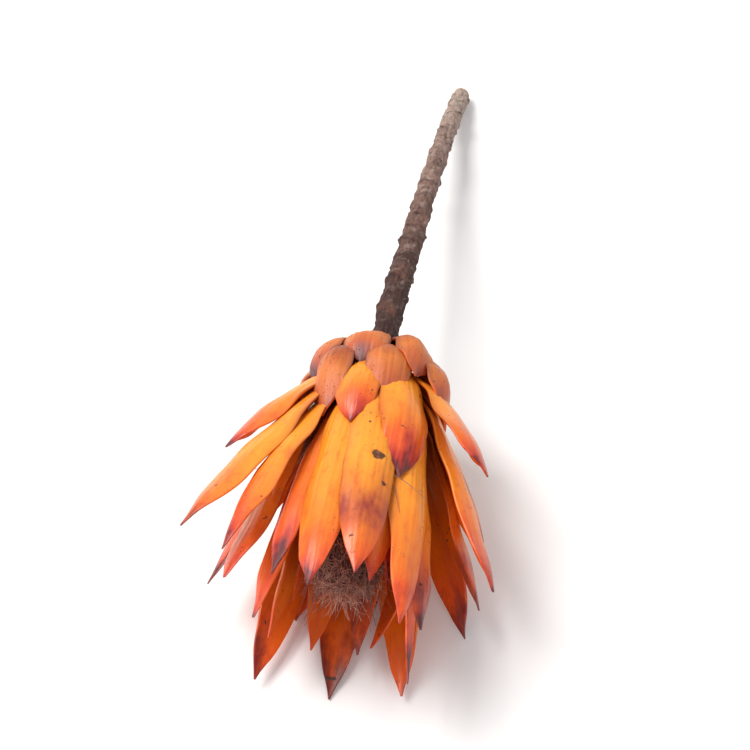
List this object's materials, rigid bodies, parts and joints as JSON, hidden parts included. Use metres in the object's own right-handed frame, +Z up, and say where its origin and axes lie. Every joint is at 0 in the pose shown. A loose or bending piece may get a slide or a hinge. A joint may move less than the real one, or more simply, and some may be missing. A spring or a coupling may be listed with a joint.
{
  "type": "dried protea flower",
  "caption": "Single dried protea flower head lying on its side: stiff cupped orange bracts round a frayed floret cone, on a bent woody stem.",
  "frame": {"origin": "on the surface the flower lies on, below the middle of its outer box", "axes": "+Z up, -Y from the head's base towards the bract tips, +Y along the stem to its cut end, +X to the right seen from the tips' side with the stem pointing away"},
  "size_m": [0.0636, 0.188, 0.0421],
  "materials": {
    "bract": "satin",
    "inner_bract": "satin",
    "scale": "satin",
    "bark": "rough",
    "florets": "frayed"
  },
  "bodies": {
    "root": {"base_scale_01": "scale", "base_scale_02": "scale", "base_scale_03": "scale", "base_scale_04": "scale", "base_scale_05": "scale", "base_scale_06": "scale", "base_scale_07": "scale", "collar_scale_01": "scale", "collar_scale_02": "scale", "collar_scale_03": "scale", "collar_scale_04": "scale", "collar_scale_05": "scale", "collar_scale_06": "scale", "collar_scale_07": "scale", "florets": "florets", "goblet_bract_01": "bract", "goblet_bract_02": "bract", "goblet_bract_03": "bract", "goblet_bract_04": "bract", "goblet_bract_05": "bract", "goblet_bract_06": "bract", "goblet_bract_07": "bract", "goblet_bract_08": "bract", "inner_bract_01": "inner_bract", "inner_bract_02": "inner_bract", "inner_bract_03": "inner_bract", "inner_bract_04": "inner_bract", "inner_bract_05": "inner_bract", "inner_bract_06": "inner_bract", "long_bract_01": "inner_bract", "long_bract_02": "inner_bract", "long_bract_03": "inner_bract", "long_bract_04": "inner_bract", "long_bract_05": "inner_bract", "long_bract_06": "inner_bract", "long_bract_07": "inner_bract", "long_bract_08": "inner_bract", "long_bract_09": "inner_bract", "outer_bract_01": "bract", "outer_bract_02": "bract", "outer_bract_03": "bract", "outer_bract_04": "bract", "outer_bract_05": "bract", "outer_bract_06": "bract", "outer_bract_07": "bract", "outer_bract_08": "bract", "outer_bract_09": "bract", "short_bract_01": "bract", "short_bract_02": "bract", "short_bract_03": "bract", "short_bract_04": "bract", "short_bract_05": "bract", "short_bract_06": "bract", "short_bract_07": "bract", "short_bract_08": "bract", "stem": "bark"}
  },
  "joints": []
}
